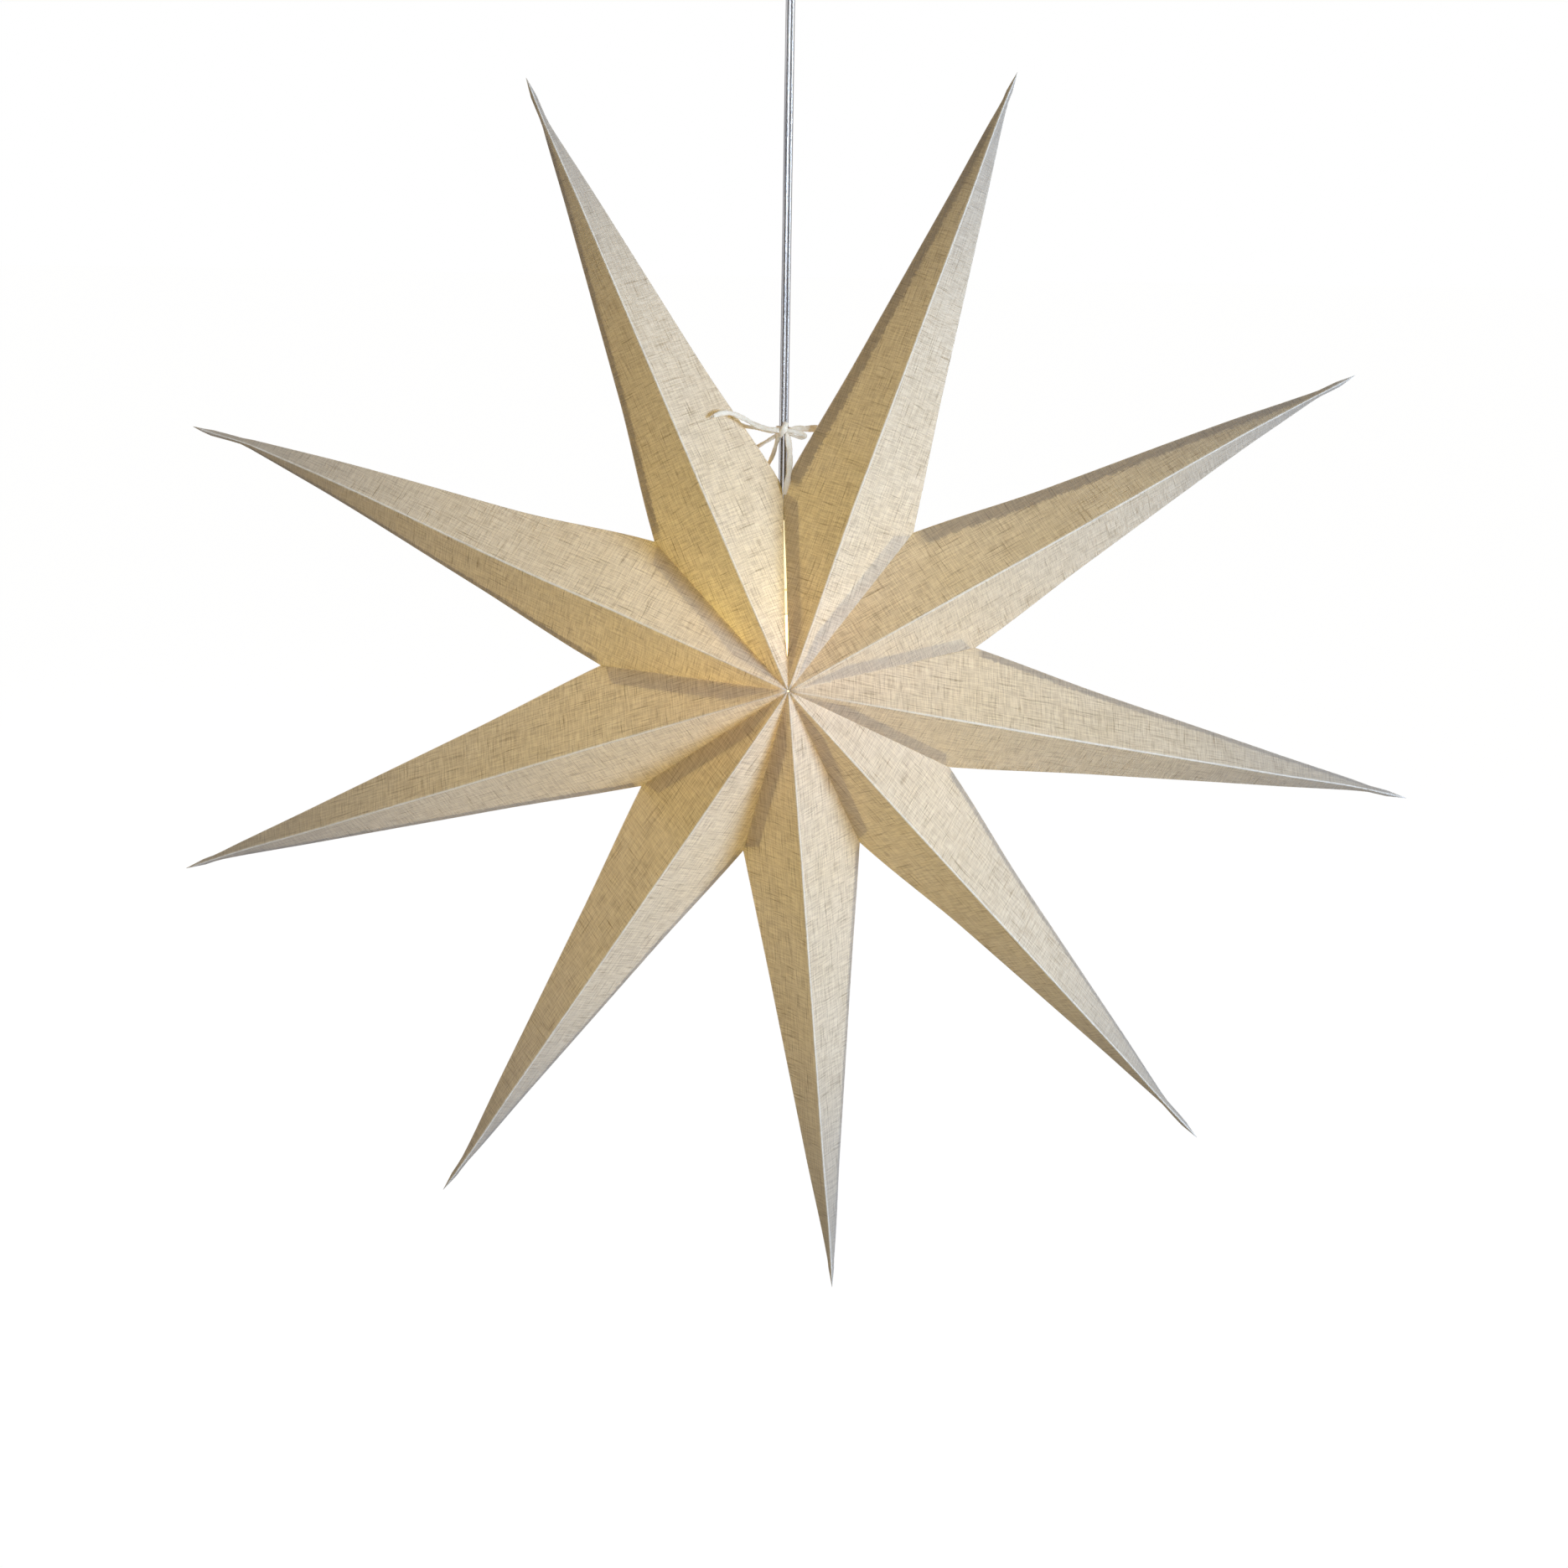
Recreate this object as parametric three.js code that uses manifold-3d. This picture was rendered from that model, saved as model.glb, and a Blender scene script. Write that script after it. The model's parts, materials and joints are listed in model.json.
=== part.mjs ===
// A nine-pointed folding star lantern of linen-faced paper, lit from inside by a lamp
// on a clear cable with an in-line switch and a plug. Lengths are in millimetres.
// The origin is the centre of the plug's flat pin face and +Z points up along the pins.
// X runs to the right and Y runs away from the viewer.
import * as THREE from 'three';
import { mergeVertices } from 'three/addons/utils/BufferGeometryUtils.js';
import Module from 'manifold-3d';

const wasm = await Module();
wasm.setup();

// Star. Its centre hangs below the plug, a little to the right of the cable.
const STAR_DROP = 580;
const STAR_SIDE = 5;
const ARMS = 9;
const TIP_RADIUS = 375;
const VALLEY_RADIUS = 110.3;
const HALF_DEPTH = 62;
const SHEET = 0.3;

// The valleys between the arms are not quite evenly spread: they crowd towards the lower right.
const TURN = 3.86;
const SPREAD = 5.33;
const LEAN = 13.93;

// Distances by which a panel is cut back from the lines it folds along.
const FRONT_RIDGE_CUT = 0.5;
const FRONT_VALLEY_CUT = 0.5;
const BACK_RIDGE_CUT = 2.9;
const BACK_VALLEY_CUT = 2.4;
const EDGE_CUT = 0.35;
const SLIT_CUT = 1.2;
const CABLE_NOTCH = { inward: 13, outward: 16 };
const EYE_CUT = 4;

// Flat twin cable: two round lobes side by side, each holding one wire.
const LOBE_RADIUS = 1.6;
const LOBE_SPACING = 2.1;
const BORE_RADIUS = 0.9;
const WIRE_RADIUS = 0.75;
const CABLE_ROOM = 0.5;

// Heights measured from the star's centre.
const GLASS_RADIUS = 22.5;
const GLASS_CENTRE = 5;
const CABLE_FOOT = 79;
const KNOT_HEIGHT = 143.5;
const SWITCH_CENTRE = 480;
const PLUG_LENGTH = 35;

const SWITCH = { width: 24, length: 62, depth: 8, wall: 2.2, endWall: 6.6, corner: 9, parting: 0.15 };
const WINDOW = { width: 9.6, length: 17.6, corner: 0.8 };
const ROCKER = { width: 8.4, length: 15.2, rise: 4.2, dish: 1.6, tilt: 8, pivotDepth: 5 };
const PLUG = { width: 35, thickness: 13.6, corner: 6, shoulder: 12 };
const PLUG_WAIST = { width: 28, thickness: 12.6 };
const PIN = { radius: 2, spacing: 19, length: 19, seat: 14, room: 0.3 };

// How far the cable runs into the switch, how deep the plug is bored for it, the room left
// between its end and the bottom of that bore, and the bare ends of its wires.
const SWITCH_GRIP = 9;
const PLUG_GRIP = 13;
const BARE_END = 3;
const PLUG_ROOM = 4;

const CORD_RADIUS = 1.15;
const LATHE_STEPS = 24;

// A tool reaches this far past the face it cuts, so that no skin is left.
const PAST = 1;

const star = new THREE.Group();
star.name = 'star_lantern';

const MATERIALS = {
  linen: [0xd9c9a0, 0.9, 0],
  clear_vinyl: [0xc9d0d8, 0.15, 0],
  copper: [0x8a8f96, 0.35, 0.9],
  white_plastic: [0xf1efe9, 0.4, 0],
  brass: [0xc9a24b, 0.3, 1],
  nickel: [0xb9bcc0, 0.3, 1],
  glass: [0xfff4dc, 0.1, 0],
  tungsten: [0x77736c, 0.4, 0.8],
  cotton: [0xe9e0cc, 0.95, 0],
};

function add(name, geometry, material) {
  const [color, roughness, metalness] = MATERIALS[material];
  const look = new THREE.MeshStandardMaterial({ color, roughness, metalness });
  const mesh = new THREE.Mesh(geometry, look);
  mesh.name = name;
  star.add(mesh);
}

const radians = THREE.MathUtils.degToRad;

// A point given by its distance and direction from the star's axis and its depth.
function starPoint(radius, angle, depth = 0) {
  const x = STAR_SIDE + radius * Math.cos(angle);
  const z = radius * Math.sin(angle) - STAR_DROP;
  return new THREE.Vector3(x, depth, z);
}

// Height above the star's centre, given in the part's own frame.
function level(height) {
  return height - STAR_DROP;
}

function valleyAngle(number) {
  const even = 90 - (360 / ARMS) * number;
  if (number === ARMS) return valleyAngle(0) - radians(360);
  return radians(even + TURN) - radians(SPREAD) * Math.cos(radians(even - LEAN));
}

// Solids joined and cut

function toSolid(geometry) {
  const plain = geometry.clone();
  plain.deleteAttribute('normal');
  plain.deleteAttribute('uv');
  const merged = mergeVertices(plain);
  const vertProperties = new Float32Array(merged.attributes.position.array);
  const triVerts = new Uint32Array(merged.index.array);
  return new wasm.Manifold(new wasm.Mesh({ numProp: 3, vertProperties, triVerts }));
}

function toGeometry(solid) {
  const mesh = solid.getMesh();
  const geometry = new THREE.BufferGeometry();
  geometry.setAttribute('position', new THREE.BufferAttribute(mesh.vertProperties, 3));
  geometry.setIndex(new THREE.BufferAttribute(mesh.triVerts, 1));
  return geometry;
}

function cut(geometry, ...tools) {
  let solid = toSolid(geometry);
  for (const tool of tools) {
    solid = solid.subtract(toSolid(tool));
  }
  return toGeometry(solid);
}

function join(first, second) {
  return toGeometry(toSolid(first).add(toSolid(second)));
}

// Outlines

function roundedRectangle(width, height, corner) {
  const x = width / 2 - corner;
  const y = height / 2 - corner;
  const shape = new THREE.Shape();
  shape.absarc(x, y, corner, 0, Math.PI / 2);
  shape.absarc(-x, y, corner, Math.PI / 2, Math.PI);
  shape.absarc(-x, -y, corner, Math.PI, 1.5 * Math.PI);
  shape.absarc(x, -y, corner, 1.5 * Math.PI, 2 * Math.PI);
  return shape;
}

function circle(radius, x = 0) {
  return new THREE.Shape().absarc(x, 0, radius, 0, 2 * Math.PI);
}

// The cable's outline, grown by the room left around it. The lobes meet in shallow grooves.
function cableOutline(room = 0) {
  const radius = LOBE_RADIUS + room;
  const half = LOBE_SPACING / 2;
  const groove = Math.acos(half / radius);
  const shape = new THREE.Shape();
  shape.absarc(half, 0, radius, groove - Math.PI, Math.PI - groove);
  shape.absarc(-half, 0, radius, groove, 2 * Math.PI - groove);
  return shape;
}

// An outline in X and Y drawn up from one height to another.
function prism(shape, bottom, top, curveSegments = 6) {
  const settings = { depth: top - bottom, bevelEnabled: false, curveSegments };
  return new THREE.ExtrudeGeometry(shape, settings).translate(0, 0, bottom);
}

// An outline in X and Z drawn back from one depth to another, centred at a height.
function plate(shape, front, back, height, curveSegments = 4) {
  const settings = { depth: back - front, bevelEnabled: false, curveSegments };
  const geometry = new THREE.ExtrudeGeometry(shape, settings);
  return geometry.rotateX(Math.PI / 2).translate(0, back, height);
}

// A turned piece about the cable's axis. Each profile point is a radius and a height.
function turned(profile) {
  const points = profile.map(([radius, height]) => new THREE.Vector2(radius, level(height)));
  if (THREE.ShapeUtils.area(points) < 0) points.reverse();
  return new THREE.LatheGeometry(points, LATHE_STEPS).rotateX(Math.PI / 2);
}

function tube(points, radius, steps, curveSegments = 4) {
  const path = new THREE.CatmullRomCurve3(points.map(([x, y, z]) => new THREE.Vector3(x, y, level(z))));
  const outline = new THREE.Shape();
  outline.absarc(0, 0, radius, 0, 2 * Math.PI);
  const settings = { steps, extrudePath: path, curveSegments };
  return new THREE.ExtrudeGeometry(outline, settings);
}

// Paper panels

// What is left of a flat polygon on the inner side of a line.
function keep(polygon, point, inward) {
  const side = (p) => p.clone().sub(point).dot(inward);
  const result = [];
  polygon.forEach((here, i) => {
    const next = polygon[(i + 1) % polygon.length];
    const a = side(here);
    const b = side(next);
    if (a >= 0) result.push(here);
    if ((a < 0) !== (b < 0)) result.push(here.clone().lerp(next, a / (a - b)));
  });
  return result;
}

function inset(polygon, from, to, inside, distance) {
  const along = to.clone().sub(from).normalize();
  const inward = new THREE.Vector2(-along.y, along.x);
  if (inside.clone().sub(from).dot(inward) < 0) inward.negate();
  return keep(polygon, from.clone().addScaledVector(inward, distance), inward);
}

// Cuts a corner off square to the line that runs from it to a point inside.
function clipCorner(polygon, corner, inside, distance) {
  const inward = inside.clone().sub(corner).normalize();
  return keep(polygon, corner.clone().addScaledVector(inward, distance), inward);
}

// Cuts a corner off from one distance along its first side to another along its second.
function notchCorner(polygon, corner, first, second, notch) {
  const from = first.clone().sub(corner).setLength(notch.inward).add(corner);
  const to = second.clone().sub(corner).setLength(notch.outward).add(corner);
  return inset(polygon, from, to, first, 0);
}

// One flat quarter of an arm: apex, tip and valley are its three corners in space.
function panel(apex, tip, valley, cuts) {
  const along = tip.clone().sub(apex).normalize();
  const reach = valley.clone().sub(apex);
  const across = reach.clone().addScaledVector(along, -reach.dot(along)).normalize();
  const normal = along.clone().cross(across);
  const a = new THREE.Vector2(0, 0);
  const t = new THREE.Vector2(tip.distanceTo(apex), 0);
  const v = new THREE.Vector2(reach.dot(along), reach.dot(across));
  const centre = a.clone().add(t).add(v).divideScalar(3);
  let polygon = [a, t, v];
  polygon = inset(polygon, a, t, centre, cuts.ridge);
  polygon = inset(polygon, a, v, centre, cuts.valley);
  polygon = inset(polygon, t, v, centre, EDGE_CUT);
  polygon = clipCorner(polygon, a, v, EYE_CUT);
  if (cuts.notch) polygon = notchCorner(polygon, v, a, t, cuts.notch);
  const settings = { depth: SHEET, bevelEnabled: false };
  const sheet = new THREE.ExtrudeGeometry(new THREE.Shape(polygon), settings);
  sheet.translate(0, 0, -SHEET / 2);
  const place = new THREE.Matrix4().makeBasis(along, across, normal).setPosition(apex);
  return sheet.applyMatrix4(place);
}

function buildArm(number) {
  const leftAngle = valleyAngle(number - 1);
  const rightAngle = valleyAngle(number);
  const tip = starPoint(TIP_RADIUS, (leftAngle + rightAngle) / 2);
  const besideSlit = { left: number === 1, right: number === ARMS };
  for (const face of ['front', 'back']) {
    const front = face === 'front';
    const apex = starPoint(0, 0, front ? -HALF_DEPTH : HALF_DEPTH);
    for (const side of ['left', 'right']) {
      const valley = starPoint(VALLEY_RADIUS, side === 'left' ? leftAngle : rightAngle);
      const cuts = {
        ridge: front ? FRONT_RIDGE_CUT : BACK_RIDGE_CUT,
        valley: front ? FRONT_VALLEY_CUT : BACK_VALLEY_CUT,
      };
      if (besideSlit[side]) {
        cuts.valley = SLIT_CUT;
        cuts.notch = CABLE_NOTCH;
      }
      add(`arm_${number}_${face}_${side}_panel`, panel(apex, tip, valley, cuts), 'linen');
    }
  }
}

// Cable

function buildCable() {
  const half = LOBE_SPACING / 2;
  const jacket = cableOutline();
  jacket.holes.push(circle(BORE_RADIUS, half), circle(BORE_RADIUS, -half));
  const foot = level(CABLE_FOOT);
  const intoSwitch = SWITCH.length / 2 - SWITCH_GRIP;
  const head = PLUG_GRIP - PLUG_LENGTH - PLUG_ROOM;
  add('cable_jacket_lower', prism(jacket, foot, level(SWITCH_CENTRE - intoSwitch)), 'clear_vinyl');
  add('cable_jacket_upper', prism(jacket, level(SWITCH_CENTRE + intoSwitch), head), 'clear_vinyl');
  for (const [name, side] of [['live', -half], ['neutral', half]]) {
    const wire = prism(circle(WIRE_RADIUS, side), foot - BARE_END, head + BARE_END);
    add(`cable_wire_${name}`, wire, 'copper');
  }
}

// Lampholder: a tube with a screwed cap, a brass shell, a sprung contact and a grip on the cable.

function buildLampholder() {
  const cap = [[3.4, 91], [5.2, 91], [6.4, 88], [12.6, 79], [13.5, 76], [13.5, 70.3],
    [11.2, 70.3], [11.2, 75.5], [9.6, 78], [4.6, 85.5], [3.4, 86.5], [3.4, 91]];
  const body = [[3.3, 70], [13.5, 70], [13.5, 52], [12.6, 50.5], [12.6, 37], [11.4, 36],
    [10.2, 37], [10.2, 66.5], [3.3, 66.5], [3.3, 70]];
  const shell = [[7.3, 40], [8.3, 40], [7.8, 41], [7.8, 65.8], [3.6, 65.8], [3.6, 65.2],
    [7.3, 65.2], [7.3, 40]];
  const contact = [[0, 60.9], [1.6, 60.9], [2.2, 61.5], [2.2, 64.6], [1.4, 65.4], [1.4, 70.6],
    [0, 70.6]];
  add('lampholder_cap', turned(cap), 'white_plastic');
  add('lampholder_body', turned(body), 'white_plastic');
  add('lampholder_screw_shell', turned(shell), 'brass');
  add('lampholder_centre_contact', turned(contact), 'brass');
  const grip = circle(4.3);
  grip.holes.push(cableOutline(0.3));
  add('lampholder_cable_grip', prism(grip, level(80), level(83.5)), 'white_plastic');
}

// Golf-ball bulb hanging cap up in the lampholder.

function buildBulb() {
  const wall = 0.8;
  const neck = 6;
  const neckTop = 47;
  const outer = [];
  const inner = [];
  const steps = 10;
  const opening = 0.42;
  for (let i = 0; i <= steps; i += 1) {
    const angle = -Math.PI / 2 + (Math.PI - opening) * (i / steps);
    const radius = i === 0 ? 0 : Math.cos(angle);
    outer.push([GLASS_RADIUS * radius, GLASS_CENTRE + GLASS_RADIUS * Math.sin(angle)]);
    inner.push([(GLASS_RADIUS - wall) * radius, GLASS_CENTRE + (GLASS_RADIUS - wall) * Math.sin(angle)]);
  }
  const glass = [...outer, [neck + 1, 30], [neck, 34], [neck, neckTop],
    [neck - wall, neckTop], [neck - wall, 34], [neck + 1 - wall, 29.5], ...inner.reverse()];
  const screwCap = [[6.4, 39], [6.9, 39], [6.9, 57], [5.2, 59.4], [2.4, 60.3], [0, 60.3],
    [0, 58.6], [4.6, 57.6], [6.4, 56.3], [6.4, 39]];
  const stem = [[0, 55], [3.4, 55], [3.4, 44], [1.8, 40], [1.6, 22], [2.4, 20], [0, 19.6]];
  const coil = [[-1.6, 0, 18.6], [-6.5, 0, 13], [-9, 0, 6], [-3, 0, 8.5], [3, 0, 8.5], [9, 0, 6],
    [6.5, 0, 13], [1.6, 0, 18.6]];
  add('bulb_glass', turned(glass), 'glass');
  add('bulb_screw_cap', turned(screwCap), 'nickel');
  add('bulb_stem', turned(stem), 'glass');
  add('bulb_filament', tube(coil, 0.35, 30, 3), 'tungsten');
}

// In-line switch: two half shells closed on the cable, with a tilting rocker in the front one.

function buildSwitch() {
  const height = level(SWITCH_CENTRE);
  const { width, length, depth, wall, endWall, corner, parting } = SWITCH;
  const outline = roundedRectangle(width, length, corner);
  const hollow = roundedRectangle(width - 2 * wall, length - 2 * endWall, corner - wall);
  const cable = prism(cableOutline(CABLE_ROOM), height - length, height + length);
  const window = roundedRectangle(WINDOW.width, WINDOW.length, WINDOW.corner);
  add('switch_base', cut(
    plate(outline, parting, depth, height),
    plate(hollow, parting - PAST, depth - wall, height),
    cable,
  ), 'white_plastic');
  add('switch_cover', cut(
    plate(outline, -depth, -parting, height),
    plate(hollow, wall - depth, PAST - parting, height),
    plate(window, -depth - PAST, wall, height, 2),
    cable,
  ), 'white_plastic');
  const half = ROCKER.length / 2;
  const rocker = new THREE.Shape();
  rocker.moveTo(-half, 0.6);
  rocker.lineTo(-half, ROCKER.rise);
  rocker.quadraticCurveTo(0, ROCKER.rise - ROCKER.dish, half, ROCKER.rise);
  rocker.lineTo(half, 0.6);
  rocker.lineTo(1.5, -1.2);
  rocker.lineTo(-1.5, -1.2);
  const geometry = prism(rocker, -ROCKER.width / 2, ROCKER.width / 2);
  const up = new THREE.Vector3(0, 0, 1);
  const forward = new THREE.Vector3(0, -1, 0);
  geometry.applyMatrix4(new THREE.Matrix4().makeBasis(up, forward, up.clone().cross(forward)));
  geometry.rotateX(radians(ROCKER.tilt)).translate(0, -ROCKER.pivotDepth, height);
  add('switch_rocker', geometry, 'white_plastic');
}

// Flat two-pin plug, pins up.

function buildPlug() {
  const body = roundedRectangle(PLUG.width, PLUG.thickness, PLUG.corner);
  const waist = roundedRectangle(PLUG_WAIST.width, PLUG_WAIST.thickness, PLUG.corner);
  const bottom = -PLUG_LENGTH;
  const solid = join(prism(body, -PLUG.shoulder, 0), prism(waist, bottom, PAST - PLUG.shoulder));
  const sides = [['left', -PIN.spacing / 2], ['right', PIN.spacing / 2]];
  const seats = sides.map(([, x]) => {
    const seat = circle(PIN.radius + PIN.room, x);
    return prism(seat, -PIN.seat - PIN.room, PAST, 12);
  });
  const entry = prism(cableOutline(CABLE_ROOM), bottom - PAST, bottom + PLUG_GRIP);
  add('plug_body', cut(solid, ...seats, entry), 'white_plastic');
  for (const [name, x] of sides) {
    add(`plug_pin_${name}`, prism(circle(PIN.radius, x), -PIN.seat, PIN.length, 12), 'nickel');
  }
}

// Cotton tie cord: a knot round the cable, a bow strand across its front, a loop and a strand
// that run behind the left end arm, and one from behind the right end arm down into the slit.

function buildTieCord() {
  const z = KNOT_HEIGHT;
  const knot = new THREE.TorusGeometry(4.6, 1.6, 8, 18);
  knot.scale(1, 0.82, 1.5).translate(0, 0, level(z));
  add('tie_cord_knot', knot, 'cotton');
  const bow = [[-41, -16.5, z + 11], [-34, -11.5, z + 12], [-26, -7.5, z + 10], [-15, -6.8, z + 6],
    [-5, -7.2, z + 1], [3, -7.4, z], [9, -7, z - 1], [13, -6, z - 3]];
  add('tie_cord_bow', tube(bow, CORD_RADIUS, 28), 'cotton');
  const left = [[-7.6, 1, z + 0.5], [-14, 2, z], [-22, 4.8, z + 1], [-30, 11.2, z + 2],
    [-34.5, 18.6, z - 4], [-28, 18.4, z - 12], [-19, 11.2, z - 13], [-12, 5.5, z - 9],
    [-6.6, 3.8, z - 5]];
  add('tie_cord_left_loop', tube(left, CORD_RADIUS, 36), 'cotton');
  const lower = [[-4, 4.2, z - 5.6], [-5.6, 4.6, z - 11], [-8, 6, z - 18], [-11, 10.6, z - 25]];
  add('tie_cord_lower_strand', tube(lower, CORD_RADIUS, 14), 'cotton');
  const right = [[26, 14, z - 1], [20, 8.5, z + 0.8], [14, 4.5, z + 0.6], [9.2, 2.4, z - 1.5],
    [6.6, 0.4, z - 7], [4.9, -1.6, z - 14], [3.9, -3.4, z - 22], [2.2, -3.8, z - 31], [1, -3.4, z - 40]];
  add('tie_cord_right_strand', tube(right, CORD_RADIUS, 40), 'cotton');
}

for (let number = 1; number <= ARMS; number += 1) {
  buildArm(number);
}
buildCable();
buildLampholder();
buildBulb();
buildSwitch();
buildPlug();
buildTieCord();

export default star;
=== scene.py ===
"""The look of a nine-pointed folding star lantern of linen-faced paper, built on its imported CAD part.

Lengths are in metres. X runs right, Y away from the viewer and Z up.
"""

import json
import math
import random

import bpy
import numpy as np
from mathutils import Matrix, Vector


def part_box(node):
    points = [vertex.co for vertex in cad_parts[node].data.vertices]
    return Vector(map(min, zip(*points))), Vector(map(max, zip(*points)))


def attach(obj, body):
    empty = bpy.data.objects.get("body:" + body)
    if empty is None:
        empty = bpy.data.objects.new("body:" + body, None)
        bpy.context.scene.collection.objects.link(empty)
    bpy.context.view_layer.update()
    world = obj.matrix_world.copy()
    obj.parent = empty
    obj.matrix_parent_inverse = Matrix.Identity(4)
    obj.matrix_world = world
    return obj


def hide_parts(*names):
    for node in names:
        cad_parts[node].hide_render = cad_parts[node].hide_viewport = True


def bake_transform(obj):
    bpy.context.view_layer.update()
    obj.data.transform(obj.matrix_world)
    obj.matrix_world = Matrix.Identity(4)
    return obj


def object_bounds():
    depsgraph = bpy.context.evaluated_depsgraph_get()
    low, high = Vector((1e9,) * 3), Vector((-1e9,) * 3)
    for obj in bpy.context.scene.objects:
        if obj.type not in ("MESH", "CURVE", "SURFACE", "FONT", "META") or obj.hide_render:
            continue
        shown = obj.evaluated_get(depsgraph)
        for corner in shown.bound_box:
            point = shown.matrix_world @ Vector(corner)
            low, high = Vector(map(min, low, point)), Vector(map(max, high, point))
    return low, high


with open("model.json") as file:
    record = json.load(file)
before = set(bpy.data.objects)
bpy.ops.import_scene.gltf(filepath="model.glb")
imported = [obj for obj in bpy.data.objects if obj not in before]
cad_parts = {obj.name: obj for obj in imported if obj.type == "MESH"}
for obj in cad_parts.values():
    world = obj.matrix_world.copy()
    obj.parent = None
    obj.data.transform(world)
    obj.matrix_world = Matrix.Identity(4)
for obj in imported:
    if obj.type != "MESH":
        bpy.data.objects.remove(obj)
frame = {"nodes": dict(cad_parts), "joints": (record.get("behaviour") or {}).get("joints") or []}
cad_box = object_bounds()
joints = {joint["name"]: joint for joint in frame["joints"]}

MM = 0.001
ARMS = 9

# Paper sheets. A panel runs from its ridge across to its outline.
SHEET = 0.36 * MM
FLAP_SHEET = 0.3 * MM
ALONG_STEPS = 66
ACROSS_STEPS = 12
EYE = 0.5 * MM  # left open at each end of a ridge
HALF_THICKNESS_SHARE = 0.06  # the most of a row's width that half the thickness takes up
TIP_WIDTH = 1.7 * MM

# The slit between arms 1 and 9, and the notch for the cable at its outer end
SLIT_NARROW = 0.35 * MM
SLIT_WIDE = 1.0 * MM
NOTCH_DOWN = 3.5 * MM
NOTCH_UP = 6 * MM

# Glue flaps behind the front panels: beside each valley with slanting ends, and inside each outline
FLAP_WIDTH = 11 * MM
FLAP_GAP = 0.55 * MM
FLAP_START = 6 * MM
FLAP_START_SLANT = 2.6
FLAP_END = 2 * MM
FLAP_END_SLANT = 0.9
FLAP_STEPS = (24, 4)
SEAM_WIDTH = [12 * MM, 12 * MM, 6 * MM, 5 * MM, 4 * MM, 5 * MM, 6 * MM, 6 * MM, 8 * MM]
SEAM_END = 0.9
SEAM_STEPS = (40, 4)

# By arm: how far its outline stands in from straight lines, and how far it bows clockwise.
ARM_INSET = [1.1 * MM, 1.9 * MM, 1.4 * MM, 2.3 * MM, 0.4 * MM, 1.1 * MM, 1.1 * MM, 2.6 * MM, 2.4 * MM]
ARM_BOW = [-0.2 * MM, -1.4 * MM, -0.7 * MM, 0, 0, -0.2 * MM, 0.3 * MM, 3.5 * MM, 0]

# By arm: how far the tip stands clockwise of even spacing and beyond the others, and how far it hooks.
ARM_LEAN = [4.9 * MM, 0.6 * MM, 0.3 * MM, -0.5 * MM, 1.3 * MM, 2.2 * MM, -2.2 * MM, -4.6 * MM, 0]
ARM_STRETCH = [-0.5 * MM, -1.2 * MM, -1.8 * MM, -0.5 * MM, 2.8 * MM, 3.2 * MM, 1.8 * MM, 1.9 * MM, 4 * MM]
ARM_HOOK = [-0.5 * MM, 0.8 * MM, -0.6 * MM, 0.5 * MM, -0.6 * MM, -0.6 * MM, 0.4 * MM, -0.2 * MM, -0.6 * MM]
LEAN_START = 0.3
HOOK_START = 0.9
TIP_PINCH = 0.25

# Linen colours, seen by reflected and by transmitted light
THREAD = 1.0 * MM
LINEN_PALE = (0.95, 0.90, 0.81, 1)
LINEN_DARK = (0.31, 0.22, 0.12, 1)
LINEN_STAIN = (0.66, 0.57, 0.42, 1)
# The next colour is painted shade at the tips, where less of the lamp's light comes through; it also greys
# the very centres
LINEN_GREY = (0.40, 0.40, 0.41, 1)
# The next colour is painted shade, where a glued flap behind the sheet blocks the light from inside
LINEN_FLAP_SHADE = (0.33, 0.31, 0.30, 1)
FOLD_WHITE = (0.95, 0.94, 0.91, 1)
GLOW_PALE = (0.98, 0.82, 0.50, 1)
GLOW_DARK = (0.50, 0.34, 0.14, 1)
TRANSLUCENCY = 0.36

# Other surfaces
COTTON_PALE = (0.98, 0.91, 0.79, 1)
COTTON_DARK = (0.83, 0.73, 0.58, 1)
COTTON_YELLOWED = (0.66, 0.52, 0.32, 1)
VINYL_CLEAR = (0.86, 0.87, 0.90, 1)
# The next two colours are painted shade on the clear vinyl: grey blue towards its edges, and darker patches
# along it
VINYL_RIM_SHADE = (0.17, 0.175, 0.21, 1)
VINYL_PATCH_SHADE = (0.24, 0.26, 0.34, 1)
VINYL_SHINE = (0.80, 0.77, 0.72, 1)
TIN_BRIGHT = (0.70, 0.64, 0.56, 1)
TIN_TARNISHED = (0.15, 0.14, 0.15, 1)
WHITE_PLASTIC = (0.86, 0.85, 0.82, 1)
BRASS = (0.78, 0.58, 0.27, 1)
NICKEL = (0.72, 0.71, 0.69, 1)

# The lit bulb, and painted lamplight on the holder beside it, both brightest where they face the viewer
LAMP_GLOW = 6.0
LAMP_EDGE_GLOW = 0.9
LAMP_EDGE_TINT = (1.0, 0.5, 0.12, 1)
HOLDER_GLOW = 1.0
HOLDER_TINT = (1.0, 0.88, 0.6, 1)

# A weak emission of the paper, for the lamp's light that bounces about inside the star
INNER_GLOW = 0.125
INNER_TINT = (1.0, 0.74, 0.11, 1)

# Lights, placed from the star's centre
KEY_PLACE = (2.0, -1.6, 0.3)
KEY_POWER = 68
KEY_TINT = (0.607, 0.768, 1.0)
REAR_PLACE = (-1.8, 2.0, 0.8)
REAR_POWER = 48
REAR_TINT = (0.81, 0.82, 1.0)
STUDIO_LIGHT_SIZE = 0.9
GLOW_PLACE = (-18 * MM, -12 * MM, 36 * MM)
GLOW_POWER = 0.045
GLOW_TINT = (0.966, 1.0, 0.42)
GLOW_RADIUS = 35 * MM
SKY_STRENGTH = 0.40
SKY_TINT = (1.0, 0.845, 0.583, 1)

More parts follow.
